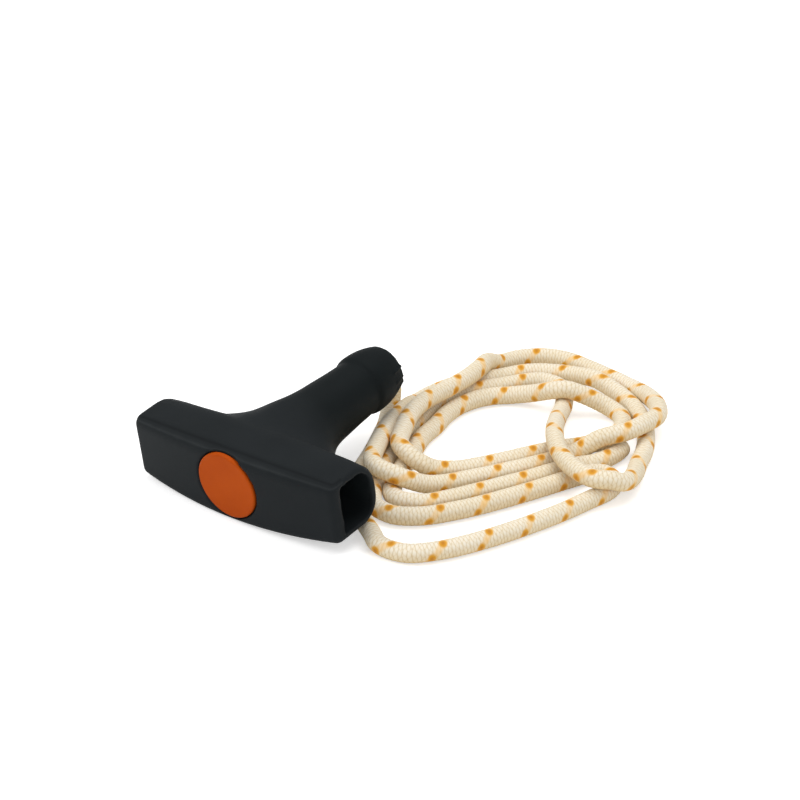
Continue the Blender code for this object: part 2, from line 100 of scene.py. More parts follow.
# The turns of the loops, from the fold where the lead meets them to the bare end under the bundle.
ROPE_TURNS = [
    (61.1, 57.4, 2.2), (61.3, 60.6, 2.2), (60.3, 63.7, 2.2), (58, 65.7, 2.2), (55.3, 65.8, 2.2),
    (53, 63.8, 2.2), (51.8, 60.8, 2.2), (49.2, 53.6, 2.2), (47, 47.6, 2.2), (44.6, 41.6, 2.2),
    (42, 35.6, 2.2), (39, 30, 2.2), (35.4, 24.6, 2.2), (30.4, 20.8, 2.2), (27.2, 20.4, 2.2),
    (24.2, 21, 2.2), (21.6, 23, 2.2), (17.8, 28, 2.2), (14.8, 33.6, 2.2), (12.6, 39.6, 2.2),
    (10, 45.6, 2.2), (7.8, 51.6, 2.2), (6.6, 57.8, 2.2), (5.2, 64, 2.2), (4.4, 70.4, 2.2),
    (5, 76.6, 2.2), (7.6, 82.4, 2.2), (11, 87.8, 2.2), (14.4, 93.2, 2.2), (16.8, 95.4, 2.2),
    (19.8, 96, 2.2), (23, 95.2, 2.2), (25.2, 93.2, 2.2), (28.8, 87.8, 2.2), (31.6, 82, 3),
    (34.6, 76.6, 4.4), (37.8, 71.4, 6), (41.6, 66.2, 6.8), (46, 61.6, 6.8), (51.2, 58, 6.8),
    (57.2, 55.8, 6.8), (60.4, 55.8, 6.8), (63, 57.6, 6.6), (64.6, 60, 5.6), (64.6, 63, 4.6),
    (62.4, 69, 3.2), (59.6, 74.6, 2.2), (57.2, 80.6, 2.2), (54, 86.2, 2.2), (50.2, 91.2, 2.2),
    (45.6, 95.6, 2.2), (40.4, 99.2, 2.2), (34.4, 101.6, 2.6), (28.2, 102.2, 3.6), (21.8, 102.2, 2.8),
    (15.6, 100.6, 2.2), (10.8, 96.6, 2.2), (7.6, 91, 2.2), (4.4, 85.6, 2.2), (1.2, 80, 2.2),
    (-0.2, 73.6, 2.2), (-0.2, 67.2, 2.4), (1.8, 61.6, 4.4), (3.8, 55.8, 5.6), (5.6, 49.6, 6),
    (8.2, 43.8, 6.4), (11, 38, 6.6), (14, 32.4, 6.8), (16, 30, 6.8), (19, 28.8, 7),
    (22.2, 29.2, 6.6), (24.6, 30.6, 5.6), (27.8, 35.4, 3), (31, 41, 2.2), (34, 46.4, 2.2),
    (37.2, 52.2, 2.2), (40, 57.8, 2.2), (42.8, 63.6, 2.2), (46, 68.8, 3.4), (49.4, 73.4, 6.2),
    (52.8, 78.8, 6.8), (54, 85, 6.8), (53.6, 91.2, 6.2), (50.2, 96.6, 5.4), (45.6, 101, 4.2),
    (40.4, 104.4, 3), (34.4, 106.6, 2.2), (28.2, 107.6, 2.2), (21.8, 108.4, 2.2), (15.4, 108.8, 2.2),
    (9.4, 106.8, 2.2), (5, 102.2, 2.2), (3.4, 96.2, 2.8), (3.6, 90.4, 5.4), (5.6, 84.6, 6.6),
    (6.6, 78.2, 6.8), (6.8, 71.8, 7), (6.4, 65.4, 7), (7.2, 59.2, 7.6), (8.8, 53, 7.6),
    (11.4, 47.2, 7.2), (14.6, 41.6, 7), (17.2, 39.8, 6.8), (20.2, 39.2, 6), (22.8, 40, 4.6),
    (24.8, 42, 3.2), (28.6, 47, 2.2), (31.8, 52.4, 2.2), (34.8, 58.2, 2.2), (37.6, 64, 2.2),
    (40.8, 69.4, 2.2), (44.4, 74.8, 2.2), (47, 80.6, 2.2), (46.4, 87, 2.2), (42.8, 92, 2.2),
    (39.8, 93.2, 2.4), (36.8, 92.8, 3.4), (31.6, 90, 5.8), (29, 88.4, 6.6), (26.2, 87.2, 6),
    (20.4, 86.4, 3.6), (14.8, 84, 2.2), (10.8, 79.2, 2.2), (9, 73, 2.2), (9.2, 66.6, 2.2),
    (10.8, 60.4, 2.2), (11.8, 54.2, 2.2), (14, 48.2, 2.2), (16.4, 42.2, 2.2), (18.6, 36.2, 2.2),
    (21.4, 30.6, 2.2), (23.2, 28, 2.2), (26.2, 26.8, 2.2), (29.2, 27.6, 2.2), (31.8, 29.2, 2.2),
    (35.2, 34.6, 2.2), (38, 40.4, 2.2), (40.6, 46.2, 2.2), (43.2, 52, 2.2), (45.6, 58, 2.2),
    (48, 64, 2.2), (51.4, 69.4, 2.2), (52.4, 75.6, 2.2), (51.8, 80.4, 2.2),
]
# Where the rope lies on the stem's axis, past the throat.
LEAVING = (0.45, 1.75)

# Knot route.
# Counted from the middle of the bar in the handle's own directions: first the stretch in the bore.
KNOT_ROUTE = [(0.0, y, 0.0) for y in (51.0, 46.0, 40.0, 34.0, 28.0, 22.0, 17.5, 14.4)]
# An overhand knot drawn tight against its seat, with the short tail out to one side.
KNOT_ROUTE += [
    (0.0, 12.3, 0.2), (1.3, 10.6, 1.9), (2.3, 8.3, 1.5), (1.9, 6.6, -0.9), (-0.2, 6.3, -2.3),
    (-2.2, 7.6, -1.6), (-2.5, 9.6, 0.6), (-1.4, 10.7, 2.2), (0.6, 9.2, 2.7), (2.0, 7.4, 2.2),
    (4.6, 7.6, 0.6), (7.6, 8.5, 0.3), (10.6, 8.5, 0.6),
]

# Braid.
# A sixteen-yarn tube braid, two over and two under: eight yarns wind each way, once round every BRAID_TURN.
YARNS = 8
OVER = 2
BRAID_REPEAT = 2 * OVER
BRAID_TURN = 11.4
YARN_RELIEF = 0.12
# How fast a yarn falls off to its sides, and how high it still is where it dips under the others.
YARN_FALL = 1.85
YARN_DIP = 0.45
# The curve has SPAN_STEPS between two points of a route, and the mesh has a ring every RING_STEP.
SPAN_STEPS = 24
RING_STEP = 0.32
RING_POINTS = 30
# The far end closes over END_LENGTH times the radius, and stops at END_LEAST of it.
END_LENGTH = 0.9
END_LEAST = 0.02
# The tracer's flecks lie in pairs to either side of this direction, which looks towards the camera.
SEEN_FROM = np.array((0.577, -0.725, 0.479))
FLECK_BEARING_DEG = 56.25
# Yarns by which the braid is moved on, so that the flecks of the near strand fall where they are seen.
ROPE_PHASE = -0.67
KNOT_PHASE = 3.0
# The knot is drawn tight, so its rope is a little thinner.
KNOT_RADIUS = 2.12


def distances(line):
    """Distance of each point from the first, along the line."""
    return np.r_[0, np.cumsum(np.linalg.norm(np.diff(line, axis=0), axis=1))]


def smooth_line(points, spacing):
    """Points at an even spacing along a smooth curve through the given ones."""
    pts = [2 * points[0] - points[1]] + list(points) + [2 * points[-1] - points[-2]]
    knots = [0.0]
    for a, b in zip(pts[:-1], pts[1:]):
        knots.append(knots[-1] + math.sqrt(np.linalg.norm(b - a)))
    fine = []
    for i in range(1, len(pts) - 2):
        p0, p1, p2, p3 = pts[i - 1 : i + 3]
        t0, t1, t2, t3 = knots[i - 1 : i + 3]
        for t in np.linspace(t1, t2, SPAN_STEPS, endpoint=False):
            a1 = (t1 - t) / (t1 - t0) * p0 + (t - t0) / (t1 - t0) * p1
            a2 = (t2 - t) / (t2 - t1) * p1 + (t - t1) / (t2 - t1) * p2
            a3 = (t3 - t) / (t3 - t2) * p2 + (t - t2) / (t3 - t2) * p3
            b1 = (t2 - t) / (t2 - t0) * a1 + (t - t0) / (t2 - t0) * a2
            b2 = (t3 - t) / (t3 - t1) * a2 + (t - t1) / (t3 - t1) * a3
            fine.append((t2 - t) / (t2 - t1) * b1 + (t - t1) / (t2 - t1) * b2)
    fine.append(pts[-2])
    fine = np.array(fine)
    along = distances(fine)
    count = int(round(along[-1] / spacing)) + 1
    wanted = np.linspace(0, along[-1], count)
    return np.column_stack([np.interp(wanted, along, fine[:, k]) for k in range(3)])


def untwisted_frames(line):
    """Two directions square to the line at each of its points, which turn no more than the line does."""
    tangent = np.gradient(line, axis=0)
    tangent /= np.linalg.norm(tangent, axis=1)[:, None]
    side = np.cross(tangent[0], (0.0, 0.0, 1.0))
    sides = np.empty_like(line)
    for i, forward in enumerate(tangent):
        side = side - forward * side.dot(forward)
        side = side / np.linalg.norm(side)
        sides[i] = side
    return sides, np.cross(tangent, sides)


def braid_height(u, v):
    """Height of the yarns from 0 in the grooves to 1 on the crowns; u along and v around, both in yarns."""
    p = v - u
    q = v + u
    first = np.mod(np.floor(p) + np.floor(q), BRAID_REPEAT) < OVER
    across = np.where(first, p - np.floor(p) - 0.5, q - np.floor(q) - 0.5)
    run_p = np.mod(q + np.floor(p), BRAID_REPEAT)
    run_q = np.mod(p + np.floor(q), BRAID_REPEAT) - OVER
    run = np.where(first, run_p, run_q)
    crown = np.sqrt(np.clip(1 - (YARN_FALL * across) ** 2, 0, 1))
    arch = np.sqrt(np.clip(np.sin(math.pi * np.clip(run, 0, OVER) / OVER), 0, 1))
    return crown * (YARN_DIP + (1 - YARN_DIP) * arch)


def braided_tube(name, line, radius, phase):
    """Mesh tube along the line, in millimetres, with the braid's relief and a UV that counts yarns."""
    along = distances(line)
    sides, ups = untwisted_frames(line)
    left = np.clip((along[-1] - along) / (radius * END_LENGTH), 0, 1)
    taper = np.maximum(np.sqrt(1 - (1 - left) ** 2), END_LEAST)
    u = (along / BRAID_TURN * YARNS)[:, None] + phase
    v = (np.arange(RING_POINTS) / RING_POINTS * YARNS)[None, :]
    facing = np.unwrap(np.arctan2(ups @ SEEN_FROM, sides @ SEEN_FROM)) + math.radians(FLECK_BEARING_DEG)
    angle = 2 * math.pi * v / YARNS + facing[:, None]
    reach = (radius - YARN_RELIEF * (1 - braid_height(u, v))) * taper[:, None]
    ring = sides[:, None, :] * np.cos(angle)[..., None] + ups[:, None, :] * np.sin(angle)[..., None]
    points = (line[:, None, :] + ring * reach[..., None]).reshape(-1, 3) * MM

    rings, spots = np.indices((len(line) - 1, RING_POINTS))
    corners = [(rings, spots), (rings, spots + 1), (rings + 1, spots + 1), (rings + 1, spots)]
    quads = np.stack([r * RING_POINTS + s % RING_POINTS for r, s in corners], axis=-1).ravel()
    yarns = np.stack([np.stack([u[r, 0], s * (YARNS / RING_POINTS)], -1) for r, s in corners], axis=2)
    start_cap = np.arange(RING_POINTS)[::-1]
    end_cap = np.arange(len(points) - RING_POINTS, len(points))
    face_starts = np.r_[np.arange(0, len(quads), 4), len(quads), len(quads) + RING_POINTS]
    cap_uvs = np.full((2 * RING_POINTS, 2), 0.5)

    mesh = bpy.data.meshes.new(name)
    mesh.vertices.add(len(points))
    mesh.vertices.foreach_set("co", points.ravel())
    mesh.loops.add(len(quads) + 2 * RING_POINTS)
    mesh.loops.foreach_set("vertex_index", np.r_[quads, start_cap, end_cap].astype(np.int32))
    mesh.polygons.add(len(face_starts))
    mesh.polygons.foreach_set("loop_start", face_starts.astype(np.int32))
    mesh.update(calc_edges=True)
    uv = mesh.uv_layers.new(name="braid")
    uv.data.foreach_set("uv", np.vstack([yarns.reshape(-1, 2), cap_uvs]).ravel().astype(np.float32))
    mesh.polygons.foreach_set("use_smooth", np.ones(len(mesh.polygons), bool))
    mesh.validate()
    return add_object(name, mesh)


# Free rope.
rope_points = [np.array(bar_middle + stem_axis * (THROAT + step)) for step in LEAVING]
for x, y, z in ROPE_LEAD + ROPE_TURNS:
    rope_points.append(np.array((x, y + SHIFT_Y, z)))
rope_line = smooth_line(rope_points, RING_STEP)
rope_line[:, 2] = np.maximum(rope_line[:, 2], ROPE_DIAMETER / 2)
rope = braided_tube("braided_rope", rope_line, ROPE_DIAMETER / 2, ROPE_PHASE)

# Knot in the hollow and the stretch in the bore.
knot_line = smooth_line([np.array(point) for point in KNOT_ROUTE], RING_STEP)
knot_line = np.array([np.array(place @ (Vector(point) * MM)) / MM for point in knot_line])
knot = braided_tube("knotted_rope", knot_line, KNOT_RADIUS, KNOT_PHASE)

# Grip: one moulding with soft edges.
WELD_GAP = 0.001
GRIP_VOXEL = 0.38
EDGE_STEPS = 4
SMOOTHING = 0.5
# The web beside the stem's foot is lowered by WEB_DROP. Each range says where that starts, where it is full
# and, along X and Y, where it fades again.
WEB_DROP = 1.2
WEB_X = (3, 9, 17, 24)
WEB_Y = (10, 15, 24, 32)
WEB_Z = (9, 13)
# The flash at the collar's end: how far it stands out, its bearings round the stem in degrees, where it grows
# in along the stem, how far from the axis the skin lies that it stands on, and its two rows of teeth.
FLASH_REACH = 0.28
FLASH_BEARING = (-28, -14, 34, 48)
FLASH_ALONG = (THROAT - 1.3, THROAT - 0.6)
FLASH_FROM_AXIS = 5.2
FLASH_TEETH = 17
FLASH_SMALL_TEETH = 31
SMALL_TEETH_SIZE = 0.7
SMALL_TEETH_OFFSET = 1.2
# The blend of the stem into the bar is eased more, growing in levels from the edge of this field.
SADDLE_FROM = 3.0
SADDLE_TO = 38.0
SADDLE_HALF = 27.0
SADDLE_LEVELS = 4
SADDLE_LEVEL_WIDTH = 1.5
SADDLE_STEPS = 80


def slope(value, low, high):
    """0 at low, 1 at high, straight between."""
    return np.clip((value - low) / (high - low), 0, 1)


def plateau(value, rise_from, rise_to, fall_from, fall_to):
    """1 between rise_to and fall_from, straight down to 0 at each side."""
    return slope(value, rise_from, rise_to) * slope(value, fall_to, fall_from)


def smoothing(obj, name, steps):
    """New smoothing modifier."""
    modifier = obj.modifiers.new(name, "SMOOTH")
    modifier.factor = SMOOTHING
    modifier.iterations = steps
    return modifier


def apply_modifiers(obj):
    """Give the object the mesh that its modifiers make, without them."""
    bpy.context.view_layer.update()
    done = obj.evaluated_get(bpy.context.evaluated_depsgraph_get())
    mesh = bpy.data.meshes.new_from_object(done)
    obj.modifiers.clear()
    obj.vertex_groups.clear()
    obj.data = mesh


def lower_web(spots):
    """Lower the web beside the stem's foot to the outline that is seen."""
    x, y, z = spots.T
    web = plateau(abs(x), *WEB_X) * plateau(y, *WEB_Y) * slope(z, *WEB_Z)
    return spots - np.outer(WEB_DROP * web, (0, 0, 1))


def raise_flash(spots):
    """Ragged flash on one side of the collar's end."""
    axis = np.array(stem_axis)
    from_axis = spots - (0, 0, SHIFT_Z)
    reach = from_axis @ axis
    from_axis = from_axis - reach[:, None] * axis
    distance = np.linalg.norm(from_axis, axis=1)
    bearing = np.arctan2(from_axis[:, 2], from_axis[:, 0])
    teeth = np.sin(bearing * FLASH_TEETH)
    teeth = teeth + SMALL_TEETH_SIZE * np.sin(bearing * FLASH_SMALL_TEETH + SMALL_TEETH_OFFSET)
    field = plateau(np.degrees(bearing), *FLASH_BEARING) * slope(reach, *FLASH_ALONG)
    height = FLASH_REACH * np.maximum(teeth, 0) * field * (distance > FLASH_FROM_AXIS)
    return spots + from_axis / distance[:, None] * height[:, None]


grip = add_object("moulded_grip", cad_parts["grip_body"].data.copy())
bm = bmesh.new()
bm.from_mesh(grip.data)
bmesh.ops.remove_doubles(bm, verts=bm.verts, dist=WELD_GAP * MM)
bm.to_mesh(grip.data)
bm.free()
remesh = grip.modifiers.new("remesh", "REMESH")
remesh.mode = "VOXEL"
remesh.voxel_size = GRIP_VOXEL * MM
smoothing(grip, "smooth", EDGE_STEPS)
apply_modifiers(grip)

spots = np.empty(len(grip.data.vertices) * 3)
grip.data.vertices.foreach_get("co", spots)
spots = spots.reshape(-1, 3) / MM - (0, SHIFT_Y, 0)
spots = raise_flash(lower_web(spots))
grip.data.vertices.foreach_set("co", ((spots + (0, SHIFT_Y, 0)) * MM).ravel())

inward = np.minimum(spots[:, 1] - SADDLE_FROM, SADDLE_TO - spots[:, 1])
inward = np.minimum(inward, SADDLE_HALF - abs(spots[:, 0]))
saddle = grip.vertex_groups.new(name="saddle")
for level in range(1, SADDLE_LEVELS + 1):
    inside = [int(i) for i in np.flatnonzero(inward > level * SADDLE_LEVEL_WIDTH)]
    saddle.add(inside, level / SADDLE_LEVELS, "REPLACE")
smoothing(grip, "ease", SADDLE_STEPS).vertex_group = saddle.name
apply_modifiers(grip)
grip.data.polygons.foreach_set("use_smooth", np.ones(len(grip.data.polygons), bool))
grip.data.materials.clear()

# Disc, with the CAD's sizes, a rounder edge and a face that is a little hollow.
CAP_FRONT = -2.75
CAP_RADIUS = 8.3
CAP_EDGE = 0.4
CAP_EDGE_STEPS = 6
CAP_THICKNESS = 1.1
CAP_BACK_EDGE = 0.05
CAP_BACK_STEP = 0.1
SPIGOT_RADIUS = 6.0
SPIGOT_INSIDE = 4.9
SPIGOT_DEPTH = 4.2
SPIGOT_EDGE = 0.1
TURNED_SIDES = 128
DISC_SPLIT_DEG = 40


def solid_of_revolution(name, profile):
    """Closed solid about the stem's axis, from (y, radius) points that start and end on the axis."""
    bm = bmesh.new()
    rows = []
    for y, radius in profile:
        if radius == 0:
            rows.append([bm.verts.new(Vector((0, y, 0)) * MM)] * TURNED_SIDES)
            continue
        ring = []
        for i in range(TURNED_SIDES):
            a = 2 * math.pi * i / TURNED_SIDES
            ring.append(bm.verts.new(Vector((radius * math.cos(a), y, radius * math.sin(a))) * MM))
        rows.append(ring)
    for lower, upper in zip(rows[:-1], rows[1:]):
        for i in range(TURNED_SIDES):
            j = (i + 1) % TURNED_SIDES
            corners = dict.fromkeys((lower[i], lower[j], upper[j], upper[i]))
            bm.faces.new(list(corners))
    bmesh.ops.recalc_face_normals(bm, faces=bm.faces)
    for face in bm.faces:
        face.smooth = True
    mesh = bpy.data.meshes.new(name)
    bm.to_mesh(mesh)
    bm.free()
    return add_object(name, mesh)


# Depth behind the disc's front, and radius.
cap_profile = [(0.03, 0.0), (0.025, 3.0), (0.015, 6.0), (0.0, 7.7)]
for i in range(CAP_EDGE_STEPS + 1):
    a = math.pi / 2 * i / CAP_EDGE_STEPS
    cap_profile.append((CAP_EDGE * (1 - math.cos(a)), CAP_RADIUS - CAP_EDGE * (1 - math.sin(a))))
cap_profile += [
    (CAP_THICKNESS - CAP_BACK_EDGE, CAP_RADIUS),
    (CAP_THICKNESS, CAP_RADIUS - CAP_BACK_STEP),
    (CAP_THICKNESS, SPIGOT_RADIUS),
    (SPIGOT_DEPTH - SPIGOT_EDGE, SPIGOT_RADIUS),
    (SPIGOT_DEPTH, SPIGOT_RADIUS - SPIGOT_EDGE),
    (SPIGOT_DEPTH, SPIGOT_INSIDE + SPIGOT_EDGE),
    (SPIGOT_DEPTH - SPIGOT_EDGE, SPIGOT_INSIDE),
    (CAP_THICKNESS, SPIGOT_INSIDE),
    (CAP_THICKNESS, 0.0),
]
disc = solid_of_revolution("orange_disc", [(CAP_FRONT + depth, radius) for depth, radius in cap_profile])
disc.matrix_world = place
disc.modifiers.new("edges", "EDGE_SPLIT").split_angle = math.radians(DISC_SPLIT_DEG)


# Materials. Noise scales are in periods to the metre, and bump heights in metres.
def new_material(name):
    """Material with its node tree and its shader node."""
    mat = bpy.data.materials.new(name)
    mat.use_nodes = True
    tree = mat.node_tree
    return mat, tree, tree.nodes["Principled BSDF"]


def add(tree, kind, **values):
    """New node with these settings."""
    node = tree.nodes.new(kind)
    for key, value in values.items():
        setattr(node, key, value)
    return node


def plug(tree, socket, value):
    """Link a socket to a node's output, or set it to a number or a colour."""
    if isinstance(value, (int, float)):
        socket.default_value = value
    elif isinstance(value, tuple):
        socket.default_value = (*value, 1)
    else:
        tree.links.new(value, socket)


def math_node(tree, operation, *values):
    """Result of an operation on numbers or on other nodes' results."""
    node = add(tree, "ShaderNodeMath", operation=operation)
    for socket, value in zip(node.inputs, values):
        plug(tree, socket, value)
    return node.outputs[0]


def multiply(tree, a, b):
    """Product of two values."""
    return math_node(tree, "MULTIPLY", a, b)


def clamped(tree, value):
    """The value held between 0 and 1."""
    return math_node(tree, "MINIMUM", math_node(tree, "MAXIMUM", value, 0.0), 1.0)


def either(tree, choice, yes, no):
    """One value where the choice is 1, the other where it is 0."""
    return math_node(tree, "MULTIPLY_ADD", math_node(tree, "SUBTRACT", yes, no), choice, no)


def peak(tree, value, middle, sharpness):
    """1 where the value is at its middle, straight down to 0 at each side."""
    off = math_node(tree, "ABSOLUTE", math_node(tree, "SUBTRACT", value, middle))
    return math_node(tree, "MAXIMUM", math_node(tree, "MULTIPLY_ADD", off, -sharpness, 1.0), 0.0)


def distance_of(tree, a, b):
    """Length of the line with these two sides."""
    squares = math_node(tree, "ADD", math_node(tree, "POWER", a, 2.0), math_node(tree, "POWER", b, 2.0))
    return math_node(tree, "POWER", squares, 0.5)


def from_nearest(tree, value, middle, repeat):
    """How far the value lies from the nearest middle of a pattern that repeats."""
    turned = math_node(tree, "ADD", value, repeat / 2 - middle)
    turned = math_node(tree, "FLOORED_MODULO", turned, repeat)
    return math_node(tree, "ABSOLUTE", math_node(tree, "SUBTRACT", turned, repeat / 2))


def parts_of(tree, vector):
    """The three numbers of a vector."""
    node = add(tree, "ShaderNodeSeparateXYZ")
    tree.links.new(vector, node.inputs[0])
    return node.outputs


def object_place(tree):
    """Place on the object, in metres."""
    return add(tree, "ShaderNodeTexCoord").outputs["Object"]


def surface_normal(tree):
    """Direction that the surface faces."""
    return add(tree, "ShaderNodeNewGeometry").outputs["Normal"]


def mix_colour(tree, factor, a, b, blend="MIX"):
    """Two colours mixed by a factor."""
    node = add(tree, "ShaderNodeMix", data_type="RGBA", blend_type=blend)
    for socket, value in ((node.inputs[0], factor), (node.inputs[6], a), (node.inputs[7], b)):
        plug(tree, socket, value)
    return node.outputs[2]


def noise(tree, vector, scale, detail=3.0, roughness=0.5):
    """Cloudy noise between 0 and 1."""
    node = add(tree, "ShaderNodeTexNoise")
    node.inputs["Scale"].default_value = scale
    node.inputs["Detail"].default_value = detail
    node.inputs["Roughness"].default_value = roughness
    tree.links.new(vector, node.inputs["Vector"])
    return node.outputs["Fac"]


def ramp(tree, factor, *stops):
    """Colour of a factor along (position, colour) stops."""
    node = add(tree, "ShaderNodeValToRGB")
    while len(node.color_ramp.elements) < len(stops):
        node.color_ramp.elements.new(0.5)
    for element, (position, colour) in zip(node.color_ramp.elements, stops):
        element.position = position
        element.color = (*colour, 1)
    tree.links.new(factor, node.inputs["Fac"])
    return node.outputs["Color"]


def bump(tree, height, strength, distance, normal=None):
    """Surface normal with a height's relief, on top of another normal's."""
    node = add(tree, "ShaderNodeBump")
    node.inputs["Strength"].default_value = strength
    node.inputs["Distance"].default_value = distance
    tree.links.new(height, node.inputs["Height"])
    if normal is not None:
        tree.links.new(normal, node.inputs["Normal"])
    return node.outputs["Normal"]


WHITE = (1.0, 1.0, 1.0)
BLACK = (0.0, 0.0, 0.0)

# Black plastic.
BAR_DARK = (0.0085, 0.0108, 0.0122)
BAR_LIGHT = (0.0125, 0.0152, 0.0168)
GRAIN_GREY = (0.022, 0.026, 0.028)
# Painted shade multiplied onto the stem and the collar.
STEM_PAINTED_SHADE = (0.52, 0.60, 0.59)
# Painted highlight grey and painted shade black for the bar's upper front edge.
PAINTED_HIGHLIGHT_GREY = (0.030, 0.034, 0.036)
PAINTED_SHADE_BLACK = (0.004, 0.005, 0.006)
# Places along Y in metres: where the painted shade on the stem starts, over what length it grows, and how far
# back the bar's front edge goes.
STEM_SHADE_FROM = -0.009
STEM_SHADE_LENGTH = 0.010
FRONT_LIMIT = -0.0225
# How far up the surface faces on the painted highlight line and on the painted shade band above it.
HIGHLIGHT_UP = 0.50
HIGHLIGHT_SHARPNESS = 6.0
SHADE_BAND_UP = 0.85
SHADE_BAND_SHARPNESS = 9.0
BAR_ROUGHNESS = 0.50
BAR_CLOUDS = 90.0
BAR_DENTS = 700.0
BAR_GRAIN = 5200.0


def black_material(name):
    """Moulded black plastic: fine spark-eroded grain, faint cloudy wear, painted shade on the stem and
    collar, and a painted highlight line with a painted shade band above it on the bar's upper front edge.
    """
    mat, tree, shader = new_material(name)
    coords = object_place(tree)
    depth = parts_of(tree, coords)[1]
    cloud = noise(tree, coords, BAR_CLOUDS, 5.0, 0.55)
    grain = noise(tree, coords, BAR_GRAIN, 3.0, 0.6)
    colour = ramp(tree, cloud, (0.3, BAR_DARK), (0.7, BAR_LIGHT))
    colour = mix_colour(tree, multiply(tree, grain, 0.20), colour, GRAIN_GREY)
    # The stem and the collar get painted shade: their colour is multiplied darker, growing in along Y.
    stem_shade_start = -STEM_SHADE_FROM / STEM_SHADE_LENGTH
    stem_shade = math_node(tree, "MULTIPLY_ADD", depth, 1.0 / STEM_SHADE_LENGTH, stem_shade_start)
    colour = mix_colour(tree, clamped(tree, stem_shade), colour, STEM_PAINTED_SHADE, "MULTIPLY")
    # Painted highlight along a thin line on the bar's upper front edge, with a painted shade band above it,
    # both picked by how far up the surface faces.
    up = parts_of(tree, surface_normal(tree))[2]
    front = math_node(tree, "LESS_THAN", depth, FRONT_LIMIT)
    line = multiply(tree, peak(tree, up, HIGHLIGHT_UP, HIGHLIGHT_SHARPNESS), front)
    band = multiply(tree, peak(tree, up, SHADE_BAND_UP, SHADE_BAND_SHARPNESS), front)
    colour = mix_colour(tree, multiply(tree, line, multiply(tree, cloud, 1.1)), colour, PAINTED_HIGHLIGHT_GREY)
    colour = mix_colour(tree, multiply(tree, band, 0.6), colour, PAINTED_SHADE_BLACK)
    tree.links.new(colour, shader.inputs["Base Color"])
    rough = math_node(tree, "MULTIPLY_ADD", cloud, 0.14, BAR_ROUGHNESS)
    rough = math_node(tree, "MULTIPLY_ADD", grain, 0.10, rough)
    tree.links.new(rough, shader.inputs["Roughness"])
    shader.inputs["Specular IOR Level"].default_value = 0.08
    normal = bump(tree, grain, 0.35, 0.00006)
    normal = bump(tree, noise(tree, coords, BAR_DENTS), 0.18, 0.00010, normal)
    tree.links.new(normal, shader.inputs["Normal"])
    return mat


# Orange plastic.
ORANGE_DEEP = (0.435, 0.0640, 0.0026)
ORANGE_BRIGHT = (0.480, 0.0750, 0.0034)
# Darker orange painted as shade along the disc's rim.
ORANGE_RIM_SHADE = (0.260, 0.0360, 0.0025)
# In metres from the disc's middle: where the rim's painted shade starts, and how wide its start is.
RIM_FROM = 0.00770
RIM_WIDTH = 0.00045
DISC_ROUGHNESS = 0.42
DISC_CLOUDS = 160.0
DISC_GRAIN = 3600.0


def orange_material(name):
    """Orange plastic: even moulded colour, painted shade at the rim, fine satin grain."""
    mat, tree, shader = new_material(name)
    coords = object_place(tree)
    sideways, _, upward = parts_of(tree, coords)
    radius = distance_of(tree, sideways, upward)
    rim = math_node(tree, "MULTIPLY_ADD", radius, 1.0 / RIM_WIDTH, -RIM_FROM / RIM_WIDTH)
    rim = math_node(tree, "MAXIMUM", math_node(tree, "SMOOTH_MIN", rim, 1.0, 0.1), 0.0)
    cloud = noise(tree, coords, DISC_CLOUDS, 4.0)
    colour = ramp(tree, cloud, (0.3, ORANGE_DEEP), (0.7, ORANGE_BRIGHT))
    # Painted shade along the rim.
    colour = mix_colour(tree, multiply(tree, rim, 0.15), colour, ORANGE_RIM_SHADE)
    tree.links.new(colour, shader.inputs["Base Color"])
    grain = noise(tree, coords, DISC_GRAIN)
    rough = math_node(tree, "MULTIPLY_ADD", grain, 0.12, DISC_ROUGHNESS)
    tree.links.new(rough, shader.inputs["Roughness"])
    shader.inputs["Specular IOR Level"].default_value = 0.05
    tree.links.new(bump(tree, grain, 0.25, 0.00004), shader.inputs["Normal"])
    return mat


# Rope.
YARN_DULL = (0.800, 0.705, 0.530)
YARN_FRESH = (0.850, 0.770, 0.630)
FIBRE_PALE = (0.930, 0.890, 0.800)
# Painted shade in the grooves between yarns and between the ribs of threads.
GROOVE_SHADE_DEEP = (0.82, 0.68, 0.44)
GROOVE_SHADE_SIDE = (0.95, 0.91, 0.82)
RIB_GAP_SHADE = (0.78, 0.69, 0.52)
# Warm yellow painted as shade on the undersides.
UNDERSIDE_SHADE_YELLOW = (0.96, 0.84, 0.60)
BLED_DYE = (0.870, 0.560, 0.220)
TRACER_DEEP = (0.540, 0.210, 0.012)
TRACER = (0.690, 0.310, 0.022)
TRACER_EDGE = (0.790, 0.460, 0.090)
# A fleck's shape: the larger the number, the shorter it is along its yarn and the narrower across.
FLECK_ALONG = 0.78
FLECK_ACROSS = 0.88
# The ribs of fine threads on the yarns, and how far they lean.
RIBS_PER_YARN = 1.68
RIB_LEAN = 0.22
# The middle of the tracer, and the middle of a place where it is on top, in yarns.
TRACER_MIDDLE = 0.5
TRACER_ON_TOP = -1.0
ROPE_ROUGHNESS = 0.72
ROPE_TONES = 60.0
ROPE_BLOTCHES = 330.0
# Fibres are counted on the yarns: many across a yarn, few along it.
FIBRES = 2.2
FIBRES_ACROSS = 9.0
FIBRES_ALONG = 1.3


